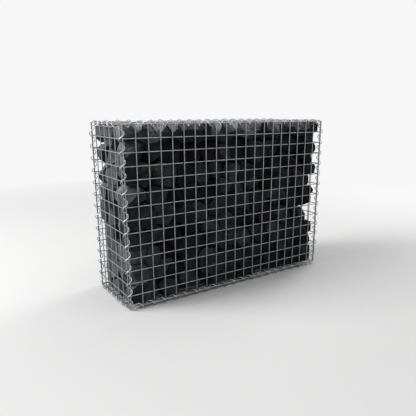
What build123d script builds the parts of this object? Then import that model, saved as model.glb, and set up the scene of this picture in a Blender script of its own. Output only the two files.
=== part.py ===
from build123d import *
from math import sqrt
import os

# Welded mesh: square cells of wire, in two layers that are welded where they cross
cell = 50
long_cell_count = 20
deep_cell_count = 6
high_cell_count = 14
mesh_wire = 4
mesh_thickness = 2 * mesh_wire

# Gaps between the end wires of one mesh and the inner face of the mesh beside it
face_gap = 2
side_gap = 1
flat_lap = 3.5

# Spiral binders: one turn to a cell, wound from straight runs round both meshes
binder_wire = 3.2
binder_play = 0.2
runs_per_turn = 4

# Stone fill, in courses from the base up
course_count = 7
fill_clearance = 0.3
seat_clearance = 0.3
edge_chamfer = 24
groove_chamfer = 14

# Ends of each course: gap to the left mesh, cut along the depth at its back corner, then the right
cut_slant = 0.5
course_ends = [
    (14, 80, 46, 40),
    (14, 84, 28, 60),
    (18, 90, 60, 30),
    (14, 60, 36, 50),
    (14, 64, 42, 30),
    (14, 70, 30, 60),
    (16, 60, 36, 40),
]

length = cell * long_cell_count
depth = cell * deep_cell_count
height = cell * high_cell_count
half_wire = mesh_wire / 2

# Inner and outer faces of the meshes, from the middle of the basket
face_in = depth / 2 + half_wire + face_gap
side_in = length / 2 + half_wire + side_gap
flat_in = height / 2 + half_wire - flat_lap
face_out = face_in + mesh_thickness
side_out = side_in + mesh_thickness
flat_out = flat_in + mesh_thickness

# Face and end of the fill, from the middle of the basket
fill_face = face_in - fill_clearance
fill_end = side_in - fill_clearance

# A binder closes round the end wires of two meshes, and hangs on the outer faces
bound_width = max(face_out - depth / 2, side_out - length / 2) + half_wire
binder_corner = binder_wire / sqrt(2)
binder_reach = bound_width / 2 + seat_clearance + binder_play + binder_corner
binder_inset = binder_reach - binder_corner - seat_clearance

# The basket stands on its lowest binders
middle_level = flat_out - binder_inset + binder_reach + binder_corner


def welded_mesh(name, inner_plane, columns, rows, columns_outside):
    outer_plane = inner_plane.offset(mesh_wire)
    with BuildPart() as mesh:
        with BuildSketch(outer_plane if columns_outside else inner_plane):
            with GridLocations(cell, cell, columns + 1, 1):
                Rectangle(mesh_wire, rows * cell + mesh_wire)
        extrude(amount=mesh_wire)
        with BuildSketch(inner_plane if columns_outside else outer_plane):
            with GridLocations(cell, cell, 1, rows + 1):
                Rectangle(columns * cell + mesh_wire, mesh_wire)
        extrude(amount=mesh_wire)
    mesh.part.label = name
    export_step(mesh.part, f"parts/{name}.step")


def spiral_binder(name, start, along, outward, cells):
    corners = []
    for run in range(1, runs_per_turn * cells):
        turned = outward.normalized().rotate(Axis((0, 0, 0), along), run * 360 / runs_per_turn)
        corners.append(start + along * (run * cell / runs_per_turn) + turned * (binder_reach * sqrt(2)))
    first_run = corners[1] - corners[0]
    with BuildPart() as binder:
        with BuildLine():
            Polyline(*corners)
        with BuildSketch(Plane(origin=corners[0], x_dir=first_run.cross(along), z_dir=first_run)):
            Rectangle(binder_wire, binder_wire)
        sweep(transition=Transition.RIGHT)
    binder.part.label = name
    export_step(binder.part, f"parts/{name}.step")


def stone_course(number, bottom, top):
    left_gap, left_cut, right_gap, right_cut = course_ends[number]
    left = left_gap - fill_end
    right = fill_end - right_gap
    with BuildPart() as course:
        with BuildSketch(Plane.XY.offset(bottom)):
            Polygon(
                (left, -fill_face),
                (right, -fill_face),
                (right, fill_face - right_cut),
                (right - right_cut * cut_slant, fill_face),
                (left + left_cut * cut_slant, fill_face),
                (left, fill_face - left_cut),
                align=None,
            )
        extrude(amount=top - bottom)
        lower_edges = course.edges().group_by(Axis.Z)[0]
        chamfer(lower_edges, length=edge_chamfer if number == 0 else groove_chamfer)
        upper_edges = course.edges().group_by(Axis.Z)[-1]
        chamfer(upper_edges, length=edge_chamfer if number == course_count - 1 else groove_chamfer)
    course.part.label = f"stone_course_{number + 1}"
    export_step(course.part, f"parts/stone_course_{number + 1}.step")


os.makedirs("parts", exist_ok=True)

# Front and back meshes, with their upright wires outside
for name, side in (("front_mesh", -1), ("back_mesh", 1)):
    inner_plane = Plane(origin=(0, side * face_in, middle_level), x_dir=(1, 0, 0), z_dir=(0, side, 0))
    welded_mesh(name, inner_plane, long_cell_count, high_cell_count, True)

# End meshes, with their level wires outside
for name, side in (("left_mesh", -1), ("right_mesh", 1)):
    inner_plane = Plane(origin=(side * side_in, 0, middle_level), x_dir=(0, 1, 0), z_dir=(side, 0, 0))
    welded_mesh(name, inner_plane, deep_cell_count, high_cell_count, False)

# Base and lid meshes, with their cross wires outside
for name, side in (("base_mesh", -1), ("lid_mesh", 1)):
    inner_plane = Plane(origin=(0, 0, middle_level + side * flat_in), x_dir=(1, 0, 0), z_dir=(0, 0, side))
    welded_mesh(name, inner_plane, long_cell_count, deep_cell_count, True)

# Binders up the four upright corners, centred on the end wires that they hold
binder_x = (length / 2 + side_in + half_wire) / 2
binder_y = face_out - binder_inset
for name, side_x, side_y in (
    ("front_left", -1, -1), ("front_right", 1, -1), ("back_left", -1, 1), ("back_right", 1, 1)
):
    spiral_binder(
        f"{name}_binder",
        Vector(side_x * binder_x, side_y * binder_y, middle_level - height / 2),
        Vector(0, 0, 1),
        Vector(side_x, side_y, 0),
        high_cell_count,
    )

# Binders round the edges of the base and the lid
for level, side_z in (("base", -1), ("lid", 1)):
    binder_z = middle_level + side_z * (flat_out - binder_inset)
    for name, side_y in (("front", -1), ("back", 1)):
        spiral_binder(
            f"{level}_{name}_binder",
            Vector(-length / 2, side_y * binder_y, binder_z),
            Vector(1, 0, 0),
            Vector(0, side_y, side_z),
            long_cell_count,
        )
    for name, side_x in (("left", -1), ("right", 1)):
        spiral_binder(
            f"{level}_{name}_binder",
            Vector(side_x * (side_out - binder_inset), -depth / 2, binder_z),
            Vector(0, 1, 0),
            Vector(side_x, 0, side_z),
            deep_cell_count,
        )

# Stone fill, each course standing on the one below and the first on the base mesh
fill_bottom = middle_level - flat_in
fill_top = middle_level + flat_in - fill_clearance
course_height = (fill_top - fill_bottom) / course_count
for number in range(course_count):
    bottom = fill_bottom + number * course_height
    stone_course(number, bottom, bottom + course_height)
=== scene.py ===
import math
import random

import bmesh
import bpy
from mathutils import Matrix, Vector


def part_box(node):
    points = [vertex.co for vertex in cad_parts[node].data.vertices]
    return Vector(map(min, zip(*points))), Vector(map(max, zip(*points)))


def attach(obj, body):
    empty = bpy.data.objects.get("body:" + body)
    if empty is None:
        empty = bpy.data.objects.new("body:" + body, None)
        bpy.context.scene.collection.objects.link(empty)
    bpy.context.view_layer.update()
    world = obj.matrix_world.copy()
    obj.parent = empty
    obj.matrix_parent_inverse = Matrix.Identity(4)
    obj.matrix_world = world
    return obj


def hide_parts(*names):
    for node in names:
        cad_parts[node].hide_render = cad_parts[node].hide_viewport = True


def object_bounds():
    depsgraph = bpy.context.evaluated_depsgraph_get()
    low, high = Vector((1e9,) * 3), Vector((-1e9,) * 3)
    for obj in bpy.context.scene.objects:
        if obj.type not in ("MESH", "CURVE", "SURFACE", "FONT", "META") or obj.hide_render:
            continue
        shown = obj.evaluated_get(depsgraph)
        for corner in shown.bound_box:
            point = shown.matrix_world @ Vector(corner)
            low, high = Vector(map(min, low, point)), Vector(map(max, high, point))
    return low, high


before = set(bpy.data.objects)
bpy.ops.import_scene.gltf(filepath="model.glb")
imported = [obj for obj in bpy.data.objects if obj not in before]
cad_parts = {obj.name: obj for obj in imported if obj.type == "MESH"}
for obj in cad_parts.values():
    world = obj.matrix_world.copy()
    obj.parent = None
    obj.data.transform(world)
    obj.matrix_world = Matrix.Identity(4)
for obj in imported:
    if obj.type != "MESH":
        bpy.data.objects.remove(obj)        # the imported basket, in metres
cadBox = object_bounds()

axes = (Vector((1, 0, 0)), Vector((0, 1, 0)), Vector((0, 0, 1)))
basketMiddle = (cadBox[0] + cadBox[1]) / 2
print("frame loaded:", len(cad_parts), "nodes")


def deselectAll():
    bpy.ops.object.select_all(action="DESELECT")


def pick(*things):
    deselectAll()
    for thing in things:
        thing.select_set(True)
    bpy.context.view_layer.objects.active = things[0]


def applyModifiers(thing):
    pick(thing)
    for name in [modifier.name for modifier in thing.modifiers]:
        bpy.ops.object.modifier_apply(modifier=name)


def applyPlace(thing):
    pick(thing)
    bpy.ops.object.transform_apply(location=True, rotation=True, scale=True)


def joinAs(name, parts):
    pick(*parts)
    bpy.ops.object.join()
    joined = bpy.context.object
    joined.name = name
    joined.data.name = name
    return joined


# Camera, set from the cells of the basket: the photo's own place and angle
view = {
    "place": (-1.0991, -1.6334, 0.7533),
    "tilt": 75.344,    # degrees up from straight down
    "turn": -34.034,    # degrees round, seen from above
    "lens": 37.575,    # mm
    "sensor": 36,    # mm across
    "shift": (-0.0184, 0.04215),
}


def addCamera():
    bpy.ops.object.camera_add(
        location=view["place"],
        rotation=(math.radians(view["tilt"]), 0, math.radians(view["turn"])),
    )
    camera = bpy.context.object
    camera.data.lens = view["lens"]
    camera.data.sensor_width = view["sensor"]
    camera.data.shift_x, camera.data.shift_y = view["shift"]
    camera.data.dof.use_dof = False
    bpy.context.scene.camera = camera


addCamera()
print("camera set")


# Small helpers for materials, each giving back what the next node reads
def newMaterial(name):
    material = bpy.data.materials.new(name)
    material.use_nodes = True
    nodes = material.node_tree.nodes
    shader = nodes["Principled BSDF"]
    return material, nodes, material.node_tree.links, shader


def addNoise(nodes, links, coordinates, scale, detail, roughness=0.5):
    noise = nodes.new("ShaderNodeTexNoise")
    noise.inputs["Scale"].default_value = scale
    noise.inputs["Detail"].default_value = detail
    noise.inputs["Roughness"].default_value = roughness
    links.new(coordinates, noise.inputs["Vector"])
    return noise.outputs["Fac"]


def addRange(nodes, links, value, before, after=(0, 1)):
    spread = nodes.new("ShaderNodeMapRange")
    for socket, number in zip(("From Min", "From Max", "To Min", "To Max"), (*before, *after)):
        spread.inputs[socket].default_value = number
    links.new(value, spread.inputs["Value"])
    return spread.outputs["Result"]


def addMath(nodes, links, operation, first, second):
    step = nodes.new("ShaderNodeMath")
    step.operation = operation
    links.new(first, step.inputs[0])
    links.new(second, step.inputs[1])
    return step.outputs["Value"]


def addMix(nodes, links, factor, first, second, blend="MIX"):
    mix = nodes.new("ShaderNodeMix")
    mix.data_type = "RGBA"
    mix.blend_type = blend
    if isinstance(factor, float):
        mix.inputs["Factor"].default_value = factor
    else:
        links.new(factor, mix.inputs["Factor"])
    for socket, colour in ((mix.inputs["A"], first), (mix.inputs["B"], second)):
        if isinstance(colour, tuple):
            socket.default_value = (*colour, 1)
        else:
            links.new(colour, socket)
    return mix.outputs["Result"]


def addBump(nodes, links, height, distance, strength, under=None):
    bump = nodes.new("ShaderNodeBump")
    bump.inputs["Distance"].default_value = distance
    bump.inputs["Strength"].default_value = strength
    links.new(height, bump.inputs["Height"])
    if under is not None:
        links.new(under, bump.inputs["Normal"])
    return bump.outputs["Normal"]


# Galvanised wire: dull zinc with faint spangle, darker streaks and a fine grain
zinc = {
    "bright": (0.345, 0.355, 0.37),
    "dull": (0.22, 0.23, 0.245),
    "binderBrighter": 1.7,
    "spangleScale": 260,
    "spangleShare": 0.10,
    "streaks": (38, 5),    # scale and detail of the noise
    "streakRange": (0.35, 0.7),
    "roughness": (0.34, 0.58),    # where it is bright, and in a streak
    "grain": (1400, 3),
    "grainBump": (0.0002, 0.25),    # depth and strength
}


def galvanisedSteel(name, brighter=1.0):
    material, nodes, links, shader = newMaterial(name)
    place = nodes.new("ShaderNodeTexCoord").outputs["Object"]
    spangle = nodes.new("ShaderNodeTexVoronoi")
    spangle.inputs["Scale"].default_value = zinc["spangleScale"]
    links.new(place, spangle.inputs["Vector"])
    bright = tuple(part * brighter for part in zinc["bright"])
    streaks = addRange(nodes, links, addNoise(nodes, links, place, *zinc["streaks"]), zinc["streakRange"])
    base = addMix(nodes, links, streaks, bright, zinc["dull"])
    facets = addMix(nodes, links, zinc["spangleShare"], base, spangle.outputs["Color"], "SOFT_LIGHT")
    links.new(facets, shader.inputs["Base Color"])
    rough = addRange(nodes, links, streaks, (0, 1), zinc["roughness"])
    links.new(rough, shader.inputs["Roughness"])
    grain = addNoise(nodes, links, place, *zinc["grain"])
    links.new(addBump(nodes, links, grain, *zinc["grainBump"]), shader.inputs["Normal"])
    shader.inputs["Metallic"].default_value = 1
    return material


# Broken basalt: near black, lighter in patches, with pale dust and painted light on what faces up and to the
# left, toward the key lamp
basalt = {
    "deep": (0.0115, 0.0122, 0.0142),
    "face": (0.056, 0.059, 0.066),
    "patches": (26, 6, 0.6),    # scale, detail and roughness of the noise
    "patchRange": (0.35, 0.68),
    # Pale dust, also standing in as painted light on faces that look up and toward the key lamp on the left
    "dust": (0.238, 0.250, 0.274),
    "dustTone": 0.5,    # how far the dust and painted light take on the tone of its stone
    # Up and to the left, where the key lamp is: the way that a face looks to take dust and painted light
    "dustAndLightSide": (-0.66, 0.20, 0.74),
    "dustRange": (0.34, 0.85),    # how squarely a face looks that way, for none of the dust and painted light, and for most
    "grain": (520, 4, 0.6),
    "grainBump": (0.0004, 0.5),    # depth and strength
    "speckRange": (0.56, 0.78),
    "speckShare": (0, 0.35),
    "pits": (150, 5, 0.65),
    "pitBump": (0.0012, 0.6),
    "pitRange": (0.3, 0.65),
    "pitDustAndLight": (0.35, 1),
    "roughRange": (0.3, 0.7),
    "roughness": (0.62, 0.85),
    "shine": 0.09,
}


def brokenBasalt():
    material, nodes, links, shader = newMaterial("brokenBasalt")
    place = nodes.new("ShaderNodeTexCoord").outputs["Object"]
    patches = addNoise(nodes, links, place, *basalt["patches"])
    grain = addNoise(nodes, links, place, *basalt["grain"])
    pits = addNoise(nodes, links, place, *basalt["pits"])
    tone = nodes.new("ShaderNodeAttribute")
    tone.attribute_name = "stoneTone"
    patchy = addRange(nodes, links, patches, basalt["patchRange"])
    body = addMix(nodes, links, patchy, basalt["deep"], basalt["face"])
    body = addMix(nodes, links, 1.0, body, tone.outputs["Color"], "MULTIPLY")
    dustTone = addMix(nodes, links, basalt["dustTone"], (1.0, 1.0, 1.0), tone.outputs["Color"])
    dust = addMix(nodes, links, 1.0, dustTone, basalt["dust"], "MULTIPLY")
    specks = addRange(nodes, links, grain, basalt["speckRange"], basalt["speckShare"])
    speckled = addMix(nodes, links, specks, body, dust)
    # Dust and painted light by the way that a face looks, up and toward the key lamp, thinner over the pits,
    # times the stone's own amount
    facing = nodes.new("ShaderNodeVectorMath")
    facing.operation = "DOT_PRODUCT"
    facing.inputs[1].default_value = basalt["dustAndLightSide"]
    links.new(nodes.new("ShaderNodeNewGeometry").outputs["Normal"], facing.inputs[0])
    # Painted light together with real dust: faces turned up and toward the key lamp get the pale colour
    dustAndLitFacing = addRange(nodes, links, facing.outputs["Value"], basalt["dustRange"])
    uneven = addRange(nodes, links, pits, basalt["pitRange"], basalt["pitDustAndLight"])
    amount = addMath(nodes, links, "MULTIPLY", dustAndLitFacing, uneven)
    amount = addMath(nodes, links, "MULTIPLY", amount, tone.outputs["Alpha"])
    links.new(addMix(nodes, links, amount, speckled, dust), shader.inputs["Base Color"])
    pitted = addBump(nodes, links, pits, *basalt["pitBump"])
    links.new(addBump(nodes, links, grain, *basalt["grainBump"], pitted), shader.inputs["Normal"])
    rough = addRange(nodes, links, patches, basalt["roughRange"], basalt["roughness"])
    links.new(rough, shader.inputs["Roughness"])
    shader.inputs["Specular IOR Level"].default_value = basalt["shine"]
    return material


meshZinc = galvanisedSteel("meshZinc")
binderZinc = galvanisedSteel("binderZinc", zinc["binderBrighter"])
stoneSkin = brokenBasalt()
print("materials made")


def finishPiece(piece, nodeName, material):
    piece.data.materials.append(material)
    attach(piece, "root")
    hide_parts(nodeName)


# Welded mesh: round wires in two layers, pressed a little into each other where they are welded
mesh = {
    "cell": 0.05,
    "wire": 0.004,
    "press": 0.0002,
    "sides": 12,
    "cutEdge": 0.0005,
    "endFacing": 0.9,    # a face that looks along the wire at least so squarely is its cut end
    "weldRadius": 0.0023,
    "weldFlat": 0.42,
    "weldSides": (8, 5),    # round the spot, and from pole to pole
    "smoothBelow": 40,    # degrees
}


def roundWire(place, run, length):
    turn = ((0, math.pi / 2, 0), (math.pi / 2, 0, 0), (0, 0, 0))[run]    # a new cylinder stands upright
    deselectAll()
    bpy.ops.mesh.primitive_cylinder_add(
        vertices=mesh["sides"], radius=mesh["wire"] / 2, depth=length, location=place, rotation=turn
    )
    wire = bpy.context.object
    applyPlace(wire)
    bpy.ops.object.mode_set(mode="EDIT")
    bpy.ops.mesh.select_all(action="DESELECT")
    shape = bmesh.from_edit_mesh(wire.data)
    for face in shape.faces:
        if abs(face.normal[run]) > mesh["endFacing"]:
            face.select_set(True)
    bpy.ops.mesh.bevel(offset=mesh["cutEdge"], segments=1, affect="EDGES")
    bpy.ops.object.mode_set(mode="OBJECT")
    return wire


def wireCount(low, high, across):
    return round((high[across] - low[across]) / mesh["cell"]) + 1


def repeatAlong(thing, across, count):
    array = thing.modifiers.new("row", "ARRAY")
    array.use_relative_offset = False
    array.use_constant_offset = True
    array.constant_offset_displace = axes[across] * mesh["cell"]
    array.count = count


def weldSpot(place, thin):
    segments, rings = mesh["weldSides"]
    squash = Vector((1, 1, 1))
    squash[thin] = mesh["weldFlat"]
    deselectAll()
    bpy.ops.mesh.primitive_uv_sphere_add(
        segments=segments, ring_count=rings, radius=mesh["weldRadius"], location=place
    )
    bpy.ops.transform.resize(value=squash)
    spot = bpy.context.object
    applyPlace(spot)
    return spot


def weldedMesh(name, nodeName, outerRun, innerRun):
    low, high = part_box(nodeName)
    middle = (low + high) / 2
    thin = 3 - outerRun - innerRun    # the axis across the mesh
    outward = 1 if middle[thin] > basketMiddle[thin] else -1
    layerGap = mesh["wire"] / 2 - mesh["press"]
    parts = []
    for run, across, side in ((outerRun, innerRun, outward), (innerRun, outerRun, -outward)):
        start = middle.copy()
        start[thin] += side * layerGap
        start[across] = low[across] + mesh["wire"] / 2
        wire = roundWire(start, run, high[run] - low[run])
        repeatAlong(wire, across, wireCount(low, high, across))
        applyModifiers(wire)
        parts.append(wire)
    corner = low + (axes[outerRun] + axes[innerRun]) * mesh["wire"] / 2
    corner[thin] = middle[thin]
    spot = weldSpot(corner, thin)
    for across in (outerRun, innerRun):
        repeatAlong(spot, across, wireCount(low, high, across))
    applyModifiers(spot)
    parts.append(spot)
    piece = joinAs(name, parts)
    bpy.ops.object.shade_smooth_by_angle(angle=math.radians(mesh["smoothBelow"]))
    finishPiece(piece, nodeName, meshZinc)


# The way that the outer and the inner wires run: 0 along the wall, 1 from front to back, 2 up
for side, outerRun, innerRun in (
    ("front", 2, 0), ("back", 2, 0), ("left", 1, 2), ("right", 1, 2), ("base", 1, 0), ("lid", 1, 0),
):
    weldedMesh(f"{side}_wires", f"{side}_mesh", outerRun, innerRun)
print("welded meshes made")


# Spiral binders: one round wire, one turn to a cell
spiral = {
    "wireRadius": 0.0018,
    "coilRadius": 0.0102,
    "sides": 10,
    "stepsPerTurn": 28,
    "lag": 0.003,
    "cadWire": 0.0032,    # the node's box goes half of this past each end of the spiral's axis
    "mergeBelow": 0.00001,
    "smoothBelow": 50,    # degrees
}


def closeEnds():
    # Rings that lie on each other become one, and the two cut ends are filled
    bpy.ops.object.mode_set(mode="EDIT")
    bpy.ops.mesh.select_all(action="SELECT")
    bpy.ops.mesh.remove_doubles(threshold=spiral["mergeBelow"])
    bpy.ops.mesh.select_all(action="DESELECT")
    bpy.ops.mesh.select_non_manifold()
    bpy.ops.mesh.fill_holes(sides=spiral["sides"])
    bpy.ops.mesh.select_all(action="SELECT")
    bpy.ops.mesh.normals_make_consistent(inside=False)
    bpy.ops.object.mode_set(mode="OBJECT")


def spiralBinder(name, nodeName):
    low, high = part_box(nodeName)
    size = high - low
    run = max(range(3), key=lambda axis: size[axis])
    along = axes[run]
    length = size[run] - spiral["cadWire"]
    turns = length / mesh["cell"]
    middle = (low + high) / 2
    start = middle.copy()
    start[run] = low[run] + spiral["cadWire"] / 2
    outward = Vector(1 if middle[axis] > basketMiddle[axis] else -1 for axis in range(3))
    outward[run] = 0
    # A quarter turn past the outer side at the start of the wire, less the lag
    startTurn = Matrix.Rotation(2 * math.pi * (0.25 - spiral["lag"] / mesh["cell"]), 3, along)
    radial = startTurn @ outward.normalized()
    # The ring that is wound up stands upright, so it is stretched to stay round across the slanting wire
    around = 2 * math.pi * spiral["coilRadius"]
    stretch = math.hypot(mesh["cell"], around) / around
    deselectAll()
    bpy.ops.mesh.primitive_circle_add(
        vertices=spiral["sides"], radius=spiral["wireRadius"],
        location=(spiral["coilRadius"], 0, 0), rotation=(math.pi / 2, 0, 0),
    )
    piece = bpy.context.object
    piece.scale = (1, stretch, 1)
    applyPlace(piece)
    screw = piece.modifiers.new("spiral", "SCREW")
    screw.axis = "Z"
    screw.angle = 2 * math.pi * turns
    screw.screw_offset = length
    screw.steps = screw.render_steps = round(spiral["stepsPerTurn"] * turns)
    screw.use_normal_calculate = True
    applyModifiers(piece)
    closeEnds()
    turned = Matrix((radial, along.cross(radial), along)).transposed().to_4x4()
    piece.matrix_world = Matrix.Translation(start) @ turned
    applyPlace(piece)
    piece.name = name
    piece.data.name = name
    bpy.ops.object.shade_smooth_by_angle(angle=math.radians(spiral["smoothBelow"]))
    finishPiece(piece, nodeName, binderZinc)


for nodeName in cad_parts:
    if nodeName.endswith("_binder"):
        spiralBinder(nodeName.replace("_binder", "_spiral"), nodeName)
print("spiral binders made")


# Stone fill: each stone is the space nearer to its own middle than to its neighbours', broken further
fill = {
    "seed": 11,
    # How far the stones reach, from the middle of the basket and from the ground
    "faceIn": 0.1528,
    "endIn": 0.5015,
    "bottom": 0.0138,
    "top": 0.7085,
    # Where their middles lie: rows up, columns along, layers from the front to the back
    "rows": 9,
    "columns": 12,
    "layers": (-0.106, 0.0, 0.104),
    "endMargin": 0.03,
    "stagger": 0.25,    # of a column, one way and then the other
    "jitter": (0.021, 0.020, 0.019),
    "firstColumn": -0.455,
    "frontEnd": 0.415,
    "lastColumn": 0.450,
    "leftEnd": -0.43,    # stones before this show at the left end
    # Top row and right end of the front
    "topHeight": 0.672,
    "topRadius": 0.033,
    "topRightGap": 0.008,    # how far short of the right end wires the row stops
    "rightRadius": 0.032,
    "rightShift": 0.003,
    "rightGap": (0.020, 0.060),    # the same for the stones behind
    # The space that a stone claims, and half the gap that it leaves
    "cubeSize": 0.32,
    "neighbours": 18,
    "radius": (0.030, 0.052),
    "gap": (0.0005, 0.0040),
    "endGap": -0.001,
    "hollowRadius": 0.018,
    # How far its outer faces stand back from the mesh, and how much they lean
    "standBack": (0.0, 0.0, 0.0, 0.005, 0.010, 0.018, 0.028),
    "leftStandBack": (0.0, 0.002, 0.005, 0.009),
    "lean": 0.22,
    "leftLean": 0.10,
    # Upright corners of the fill: how much is off, the way that the cut looks, how much that varies
    "backRightBreak": (0.008, 0.017),
    "backRightWay": (0.7, 0.7, 0),
    "backRightTurn": 0.45,
    "frontLeftBreak": (0.004, 0.014),
    "frontLeftWay": (-0.93, -0.37, 0),
    "frontLeftTurn": 0.2,
    "backLeftWay": (-0.946, 0.324, 0),
    "backLeftSlant": (-1, 0.5, 0),
    # Sloping tops: half their width, and up against back
    "slopeHalf": 0.025,
    "slopeRun": (0, 1, 0.75),
    # Corners knocked off: how many, how near to the middle, how much the cut varies
    "chips": (5, 9),
    "chipDepth": (0.72, 0.94),
    "fewChips": (2, 3),
    "fewChipDepth": (0.88, 0.97),
    "chipTurn": 0.5,
    # Tones of the stones, and how much pale dust and painted light lies on them: less on the front layer and
    # under the lid, in painted shade from the mesh and the stones above; more on sloping tops, painted as lit
    # from above
    "tones": (0.2, 0.4, 0.65, 0.9, 1.15, 1.5, 1.9),
    "leftTones": (0.85, 1.0, 1.2, 1.4),
    "shadedDustAndLight": 0.4,
    "leftDustAndLight": 0.62,
    "otherDustAndLight": 1.0,
    "slopeDustAndLight": 1.4,
    "smoothBelow": 28,    # degrees
}
dice = random.Random(fill["seed"])

# Axes of the binders, from the middle of the basket and from the ground, and the room that they need
binders = {
    "upright": (0.5025, 0.1548),
    "level": (0.5038, 0.1548),
    "levelHeights": (0.0120, 0.7106),
    "room": 0.0127,
}

# The tables below count from the left end wires, the front face and the lowest level wires
leftWire = -0.5
rightWire = 0.5
groundToWire = 0.0113

# Top front stones: middle along the wall, then the height at which the front face gives way to the sloping
# top, at its left, its peak and its right, then the tone
topStones = (
    (0.024, 0.740, 0.740, 0.740, 3.6), (0.083, 0.668, 0.686, 0.676, 2.0), (0.137, 0.628, 0.630, 0.628, 0.9),
    (0.178, 0.656, 0.686, 0.656, 1.2), (0.228, 0.662, 0.682, 0.664, 1.0), (0.276, 0.674, 0.677, 0.674, 0.8),
    (0.324, 0.674, 0.677, 0.674, 0.8), (0.368, 0.702, 0.702, 0.686, 0.7), (0.398, 0.650, 0.654, 0.655, 1.0),
    (0.438, 0.658, 0.690, 0.656, 1.4), (0.484, 0.660, 0.664, 0.668, 0.8), (0.520, 0.664, 0.688, 0.680, 1.7),
    (0.580, 0.650, 0.654, 0.656, 1.8), (0.628, 0.664, 0.668, 0.672, 0.7), (0.668, 0.684, 0.687, 0.684, 0.5),
    (0.716, 0.654, 0.658, 0.657, 0.9), (0.770, 0.690, 0.696, 0.680, 1.2), (0.820, 0.674, 0.678, 0.674, 0.6),
    (0.870, 0.660, 0.662, 0.660, 0.65), (0.912, 0.662, 0.664, 0.662, 0.65), (0.950, 0.702, 0.702, 0.702, 1.2),
)

# Right end of the front stones, from the top down: middle height, how far short of the end wire, and half
# the height of its blunt end
rightStones = (
    (0.626, 0.045, 0.020), (0.576, 0.012, 0.001), (0.525, 0.044, 0.017), (0.475, 0.010, 0.010),
    (0.424, 0.056, 0.015), (0.371, 0.020, 0.003), (0.328, 0.034, 0.014), (0.258, 0.068, 0.026),
    (0.184, 0.022, 0.018), (0.125, 0.028, 0.016), (0.052, 0.022, 0.034),
)

# Open corner behind the left end, from the top down: above this height, the cut back from the corner
backLeftCuts = ((0.640, 0.018), (0.560, 0.024), (0.450, 0.030), (0.290, 0.016), (-0.1, 0.064))

# Front stones with a skin of their own: along the wall, height, tone, dust and painted light
tonedStones = (
    (0.030, 0.570, 1.1, 1.0), (0.030, 0.432, 1.6, 0.9), (0.045, 0.175, 3.8, 0.1), (0.030, 0.100, 3.4, 0.1),
    (0.110, 0.170, 2.0, 0.4), (0.180, 0.590, 0.6, 0.4), (0.300, 0.500, 0.4, 0.4), (0.330, 0.330, 1.4, 0.4),
    (0.400, 0.110, 1.3, 0.4), (0.560, 0.180, 1.4, 0.4), (0.600, 0.300, 0.4, 0.4), (0.640, 0.420, 1.3, 0.4),
    (0.760, 0.480, 0.5, 0.4), (0.850, 0.300, 0.5, 0.4),
)

# Front stones with a face turned up to the light: along the wall, height, way that it looks, how far out
turnedFaces = (
    (0.030, 0.432, (-0.40, -0.75, 0.53), 0.036),
)

# Hollows between stones, at the front, then at the left end, with its back corner last: along the wall,
# from the front, height
hollows = (
    (0.028, 0.012, 0.617), (0.078, 0.015, 0.578), (0.275, 0.018, 0.575), (0.480, 0.012, 0.514),
    (0.284, 0.014, 0.424), (0.075, 0.012, 0.362), (0.382, 0.014, 0.226), (0.290, 0.015, 0.128),
    (0.530, 0.012, 0.226), (0.880, 0.012, 0.130), (0.825, 0.014, 0.384), (0.120, 0.012, 0.038),
    (0.552, 0.010, 0.682), (0.674, 0.012, 0.668), (0.870, 0.012, 0.570), (0.690, 0.012, 0.335),
    (0.190, 0.010, 0.600), (0.380, 0.010, 0.590), (0.560, 0.010, 0.480), (0.610, 0.010, 0.560),
    (0.760, 0.010, 0.440), (0.200, 0.010, 0.330), (0.470, 0.010, 0.370), (0.590, 0.010, 0.110),
    (0.720, 0.010, 0.230), (0.930, 0.010, 0.300), (0.110, 0.010, 0.490), (0.340, 0.010, 0.450),
    (0.420, 0.010, 0.540), (0.660, 0.010, 0.500), (0.800, 0.010, 0.620), (0.700, 0.010, 0.400),
    (0.150, 0.010, 0.240), (0.440, 0.010, 0.290), (0.640, 0.010, 0.240), (0.780, 0.010, 0.320),
    (0.350, 0.010, 0.180), (0.490, 0.010, 0.140), (0.700, 0.010, 0.080), (0.820, 0.010, 0.200),
    (0.004, 0.083, 0.690), (0.004, 0.083, 0.662), (0.006, 0.040, 0.622), (0.006, 0.095, 0.608),
    (0.006, 0.150, 0.592), (0.006, 0.185, 0.572), (0.008, 0.060, 0.480), (0.008, 0.200, 0.380),
    (0.008, 0.160, 0.435), (0.008, 0.098, 0.360), (0.008, 0.095, 0.270), (0.008, 0.045, 0.112),
    (0.008, 0.100, 0.080), (0.012, 0.246, 0.621), (0.000, 0.272, 0.530), (0.012, 0.250, 0.472),
)


def stoneHere(place, layer, **more):
    atLeft = place[0] < fill["leftEnd"]
    # Front stones get less painted light, as painted shade from the mesh and the stones above; left end
    # stones get their own amount
    dust = fill["otherDustAndLight"] if layer else fill["shadedDustAndLight"]
    stone = {
        "middle": Vector(place),
        "layer": layer,
        "radius": dice.uniform(*fill["radius"]),
        "tone": dice.choice(fill["leftTones"] if atLeft else fill["tones"]),
        "dust": fill["leftDustAndLight"] if atLeft else dust,
        "right": rightWire - dice.uniform(*fill["rightGap"]),
        "slope": None,
        "blunt": None,
        "turned": None,
        "neat": False,
    }
    stone.update(more)
    return stone


def placeTopRow():
    stones = []
    for along, left, peak, right, tone in topStones:
        place = (leftWire + along, fill["layers"][0], fill["topHeight"] + groundToWire)
        slope = tuple(height + groundToWire for height in (left, peak, right))
        # Sloping tops below the lid get more painted light, as if lit from above; the rest lie in painted
        # shade
        dust = fill["slopeDustAndLight"] if peak + groundToWire < fill["top"] else fill["shadedDustAndLight"]
        stones.append(stoneHere(
            place, 0, slope=slope, right=rightWire - fill["topRightGap"], radius=fill["topRadius"],
            tone=tone, dust=dust, neat=True,
        ))
    return stones


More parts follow.
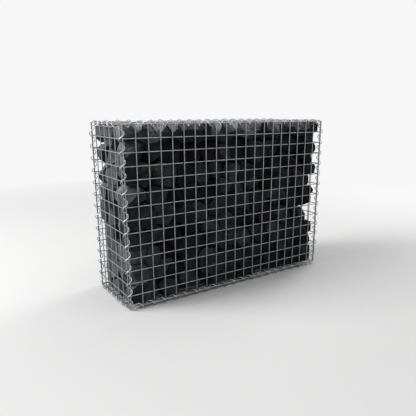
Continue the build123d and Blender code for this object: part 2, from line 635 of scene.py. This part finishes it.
def placeRightEnd():
    stones = []
    for height, gap, blunt in rightStones:
        depth = fill["layers"][0] + dice.uniform(-1, 1) * fill["rightShift"]
        place = (fill["lastColumn"], depth, height + groundToWire)
        stones.append(stoneHere(
            place, 0, right=rightWire - gap, radius=fill["rightRadius"], blunt=blunt, neat=True,
        ))
    return stones


def placeOthers():
    stones = []
    rowStep = (fill["top"] - fill["bottom"]) / fill["rows"]
    columnStep = (2 * fill["endIn"] - fill["endMargin"]) / fill["columns"]
    for row in range(fill["rows"]):
        for layer, depth in enumerate(fill["layers"]):
            shift = fill["stagger"] if (row + layer) % 2 else -fill["stagger"]
            for column in range(fill["columns"]):
                along = (column + 0.5 + shift) * columnStep - fill["endIn"]
                middle = Vector((along, depth, fill["bottom"] + (row + 0.5) * rowStep))
                middle += Vector(dice.uniform(-1, 1) * amount for amount in fill["jitter"])
                if column == 0:
                    middle.x = fill["firstColumn"]
                # The top row and the right end of the front are placed by their tables
                if layer > 0 or row < fill["rows"] - 1 and middle.x < fill["frontEnd"]:
                    stones.append(stoneHere(middle, layer))
    return stones


def nearestTo(along, height, stones):
    spot = Vector((leftWire + along, fill["layers"][0], height + groundToWire))
    return min(stones, key=lambda stone: (stone["middle"] - spot).length)


def placeStones():
    stones = placeTopRow() + placeRightEnd() + placeOthers()
    for along, height, tone, dust in tonedStones:
        nearestTo(along, height, stones).update(tone=tone, dust=dust)
    for along, height, way, reach in turnedFaces:
        nearestTo(along, height, stones)["turned"] = (way, reach)
    return stones


def cutAway(point, normal):
    # Takes off what lies on the side that the normal points to, if anything does
    point, normal = Vector(point), Vector(normal)
    shape = bmesh.from_edit_mesh(bpy.context.object.data)
    if any((vertex.co - point).dot(normal) > 0 for vertex in shape.verts):
        bpy.ops.mesh.select_all(action="SELECT")
        bpy.ops.mesh.bisect(plane_co=point, plane_no=normal, use_fill=True, clear_outer=True)


def randomDirection():
    # Towards a random point in a ball, but not one too near to its middle
    while True:
        direction = Vector(dice.uniform(-1, 1) for axis in range(3))
        if 0.1 < direction.length < 1:
            return direction.normalized()


def cutToFaces(stone):
    # Each outer face leans a little its own way and stands back a little, so few touch the mesh all over
    middle = stone["middle"]
    atLeft = middle.x < fill["leftEnd"]
    spread = fill["leftLean"] if atLeft else fill["lean"]
    steps = fill["leftStandBack"] if atLeft else fill["standBack"]
    for axis, side, limit in (
        (0, -1, -fill["endIn"]), (0, 1, stone["right"]), (1, -1, -fill["faceIn"]), (1, 1, fill["faceIn"]),
        (2, -1, fill["bottom"]), (2, 1, fill["top"]),
    ):
        point = middle.copy()
        point[axis] = limit
        cutAway(point, axes[axis] * side)
        lean = axes[axis] * side + Vector(dice.uniform(-1, 1) * spread for each in range(3))
        lean.z += spread / 3    # most look up a little
        point[axis] -= side * dice.choice(steps)
        if not stone["neat"]:
            cutAway(point, lean)


def cutForBinders(middle):
    # The binders pass outside the long edges and the corners
    for height, side in zip(binders["levelHeights"], (-1, 1)):
        for axis, way in ((0, -1), (0, 1), (1, -1), (1, 1)):
            clear = Vector((0, 0, height))
            clear[axis] = way * binders["level"][axis]
            outward = (axes[axis] * way + axes[2] * side).normalized()
            cutAway(clear - outward * binders["room"], outward)
    for wayX, wayY in ((-1, -1), (1, -1), (1, 1)):
        clear = Vector((wayX * binders["upright"][0], wayY * binders["upright"][1], middle.z))
        outward = Vector((wayX, wayY, 0)).normalized()
        cutAway(clear - outward * binders["room"], outward)


def breakCorners(middle):
    inset = dice.uniform(*fill["backRightBreak"])
    corner = (fill["endIn"] - inset, fill["faceIn"] - inset, middle.z)
    cutAway(corner, Vector(fill["backRightWay"]) + fill["backRightTurn"] * randomDirection())
    inset = dice.uniform(*fill["frontLeftBreak"])
    corner = (inset - fill["endIn"], -fill["faceIn"], middle.z)
    cutAway(corner, Vector(fill["frontLeftWay"]) + fill["frontLeftTurn"] * randomDirection())


def cutBluntEnd(stone):
    middle = stone["middle"]
    for side in (-1, 1):
        edge = (stone["right"], middle.y, middle.z + side * stone["blunt"])
        cutAway(edge, (1, 0, side))


def openBackLeft(middle):
    # The corner behind the left end stays open, the more so lower down
    outward = Vector(fill["backLeftWay"])
    clear = Vector((-binders["upright"][0], binders["upright"][1], 0))
    cutAway(clear - outward * binders["room"], outward)
    back = next(cut for level, cut in backLeftCuts if middle.z - groundToWire > level)
    cutAway((-fill["endIn"], fill["faceIn"] - back, 0), fill["backLeftSlant"])


def slopeTop(stone):
    left, peak, right = stone["slope"]
    for rise in (peak - left, right - peak):
        across = Vector((fill["slopeHalf"], 0, rise))
        cutAway((stone["middle"].x, -fill["faceIn"], peak), across.cross(fill["slopeRun"]))


def cutToBasket(stone):
    middle = stone["middle"]
    cutToFaces(stone)
    cutForBinders(middle)
    breakCorners(middle)
    if stone["blunt"]:
        cutBluntEnd(stone)
    if stone["turned"]:
        way, reach = stone["turned"]
        cutAway(middle + Vector(way).normalized() * reach, way)
    openBackLeft(middle)
    if stone["slope"]:
        slopeTop(stone)


def chipCorners(piece, stone):
    # Corners knocked off, each with its own slant
    middle = stone["middle"]
    few = stone["neat"] or middle.x < fill["leftEnd"]
    chips, depth = (fill["fewChips"], fill["fewChipDepth"]) if few else (fill["chips"], fill["chipDepth"])
    for chip in range(dice.randint(*chips)):
        corners = [vertex.co.copy() for vertex in bmesh.from_edit_mesh(piece.data).verts]
        if corners:
            corner = dice.choice(corners) - middle
            slant = (corner.normalized() + fill["chipTurn"] * randomDirection()).normalized()
            reach = max((other - middle).dot(slant) for other in corners)
            cutAway(middle + slant * reach * dice.uniform(*depth), slant)


# Rough skin of a stone: soft lumps, then a finer grain, finer at the front than behind
skin = {
    "frontDetail": 5,
    "otherDetail": 4,
    "frontKeep": 0.5,
    "remeshScale": 0.9,
    "level": 0.6,    # of the lumps and the grain, where the skin stays in place
    "lumps": {"size": 0.030, "depth": 2, "strength": 0.005},
    "grain": {"size": 0.009, "depth": 1, "strength": 0.0016},
}


def cloudTexture(name):
    clouds = bpy.data.textures.new(name, "CLOUDS")
    clouds.noise_scale = skin[name]["size"]
    clouds.noise_depth = skin[name]["depth"]
    return clouds


skinTextures = {name: cloudTexture(name) for name in ("lumps", "grain")}


def shapeWith(piece, kind, **settings):
    modifier = piece.modifiers.new(kind.lower(), kind)
    for setting, value in settings.items():
        setattr(modifier, setting, value)
    bpy.ops.object.modifier_apply(modifier=modifier.name)


def roughenStone(piece, stone):
    shapeWith(
        piece, "REMESH", mode="SHARP", octree_depth=skin["otherDetail" if stone["layer"] else "frontDetail"],
        scale=skin["remeshScale"], use_remove_disconnected=False,
    )
    for name, texture in skinTextures.items():
        shapeWith(
            piece, "DISPLACE", texture=texture, texture_coords="LOCAL",
            strength=skin[name]["strength"], mid_level=skin["level"],
        )
    if stone["layer"] == 0:
        shapeWith(piece, "DECIMATE", ratio=skin["frontKeep"])


def colourStone(piece, stone):
    # The tone's alpha says how much pale dust and painted light lies on the stone
    tone = piece.data.attributes.new("stoneTone", "FLOAT_COLOR", "POINT")
    shade = [stone["tone"]] * 3 + [stone["dust"]]
    tone.data.foreach_set("color", shade * len(piece.data.vertices))


def makeStone(stone, stones):
    middle = stone["middle"]
    deselectAll()
    bpy.ops.mesh.primitive_cube_add(size=fill["cubeSize"], location=middle)
    piece = bpy.context.object
    applyPlace(piece)
    bpy.ops.object.mode_set(mode="EDIT")
    others = (other for other in stones if other is not stone)
    near = sorted(others, key=lambda other: (other["middle"] - middle).length)
    for other in near[:fill["neighbours"]]:
        away = other["middle"] - middle
        share = 0.5 + (stone["radius"] ** 2 - other["radius"] ** 2) / (2 * away.length_squared)
        gap = fill["endGap"] if stone["blunt"] else dice.uniform(*fill["gap"])
        cutAway(middle + away * share - away.normalized() * gap, away)
    cutToBasket(stone)
    chipCorners(piece, stone)
    faceCount = len(bmesh.from_edit_mesh(piece.data).faces)
    bpy.ops.object.mode_set(mode="OBJECT")
    if faceCount < 4:    # nothing solid is left
        bpy.data.objects.remove(piece)
        return None
    roughenStone(piece, stone)
    colourStone(piece, stone)
    return piece


def fillBasket():
    solid = placeStones()
    start = Vector((leftWire, -fill["faceIn"], groundToWire))
    hollow = [{"middle": start + Vector(place), "radius": fill["hollowRadius"]} for place in hollows]
    # Each stone goes to the course with the nearest middle height
    courses = {name: [] for name in sorted(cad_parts) if name.startswith("stone_course")}
    for stone in solid:
        height = stone["middle"].z
        nearest = min(courses, key=lambda name: abs(sum(corner.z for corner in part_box(name)) / 2 - height))
        courses[nearest].append(stone)
    for number, (name, stones) in enumerate(courses.items()):
        pieces = [makeStone(stone, solid + hollow) for stone in stones]
        piece = joinAs(f"stones_{number + 1}", [piece for piece in pieces if piece])
        bpy.ops.object.shade_smooth_by_angle(angle=math.radians(fill["smoothBelow"]))
        finishPiece(piece, name, stoneSkin)
        triangles = sum(len(face.vertices) - 2 for face in piece.data.polygons)
        print(name, len(stones), "stones,", triangles, "triangles")


fillBasket()
print("stone fill made")


# Plain pale floor that runs on into the background, and soft light from above and from the left
studio = {
    "floorSize": 14,
    "floorLevel": -0.0005,
    "floorSeen": (0.80, 0.80, 0.79),
    "floorBounce": (0.12, 0.12, 0.118),
    "floorRoughness": 0.9,
    "floorShine": 0.1,
    "floorGlow": 0.93,
    "fade": (0.9, 3.4),    # how far off the floor starts to fade, and where it is gone
    "worldColour": (0.96, 0.98, 1, 1),
    "worldLight": 0.17,
    "background": 0.93,
    # Lamps, all turned to the middle of the basket: place, width, power
    "lamps": {
        "keyLamp": ((-3.75, 1.12, 2.91), 3.0, 216),
        "topLamp": ((0.4, -0.6, 4.0), 3.5, 33),
        "fillLamp": ((0.6, -3.6, 1.8), 2.5, 8),
        "sideLamp": ((3.4, 1.0, 2.2), 2.2, 65),
    },
}


def seenByEye(nodes, links):
    # One for what the camera sees straight, in metal or through glass
    rays = nodes.new("ShaderNodeLightPath")
    seen = rays.outputs["Is Camera Ray"]
    for name in ("Is Glossy Ray", "Is Transmission Ray"):
        seen = addMath(nodes, links, "MAXIMUM", seen, rays.outputs[name])
    return seen


def addFloor():
    deselectAll()
    bpy.ops.mesh.primitive_plane_add(size=studio["floorSize"], location=(0, 0, studio["floorLevel"]))
    floor = bpy.context.object
    applyPlace(floor)
    floor.name = "floor"
    material, nodes, links, shader = newMaterial("paleFloor")
    shader.inputs["Roughness"].default_value = studio["floorRoughness"]
    shader.inputs["Specular IOR Level"].default_value = studio["floorShine"]
    # The camera and the wires see a paler floor than the stones do, and far off it fades away
    seen = seenByEye(nodes, links)
    colour = addMix(nodes, links, seen, studio["floorBounce"], studio["floorSeen"])
    links.new(colour, shader.inputs["Base Color"])
    distance = nodes.new("ShaderNodeVectorMath")
    distance.operation = "LENGTH"
    links.new(nodes.new("ShaderNodeTexCoord").outputs["Object"], distance.inputs[0])
    faded = addRange(nodes, links, distance.outputs["Value"], studio["fade"])
    glow = nodes.new("ShaderNodeEmission")
    glow.inputs["Color"].default_value = (1, 1, 1, 1)
    glow.inputs["Strength"].default_value = studio["floorGlow"]
    mix = nodes.new("ShaderNodeMixShader")
    links.new(addMath(nodes, links, "MULTIPLY", faded, seen), mix.inputs["Fac"])
    links.new(shader.outputs["BSDF"], mix.inputs[1])
    links.new(glow.outputs["Emission"], mix.inputs[2])
    links.new(mix.outputs["Shader"], nodes["Material Output"].inputs["Surface"])
    floor.data.materials.append(material)


def addWorld():
    world = bpy.data.worlds.new("studio")
    bpy.context.scene.world = world
    world.use_nodes = True
    nodes, links = world.node_tree.nodes, world.node_tree.links
    light = nodes["Background"]
    light.inputs["Color"].default_value = studio["worldColour"]
    light.inputs["Strength"].default_value = studio["worldLight"]
    shown = nodes.new("ShaderNodeBackground")
    shown.inputs["Color"].default_value = (1, 1, 1, 1)
    shown.inputs["Strength"].default_value = studio["background"]
    mix = nodes.new("ShaderNodeMixShader")
    links.new(seenByEye(nodes, links), mix.inputs["Fac"])
    links.new(light.outputs["Background"], mix.inputs[1])
    links.new(shown.outputs["Background"], mix.inputs[2])
    links.new(mix.outputs["Shader"], nodes["World Output"].inputs["Surface"])


def addSoftLamp(name, place, width, power):
    bpy.ops.object.light_add(type="AREA", location=place)
    lamp = bpy.context.object
    lamp.name = name
    lamp.data.shape = "DISK"
    lamp.data.size = width
    lamp.data.energy = power
    lamp.rotation_euler = (basketMiddle - Vector(place)).to_track_quat("-Z", "Y").to_euler()


addFloor()
addWorld()
for name, (place, width, power) in studio["lamps"].items():
    addSoftLamp(name, place, width, power)
bpy.context.scene.view_settings.view_transform = "Standard"
print("studio set")
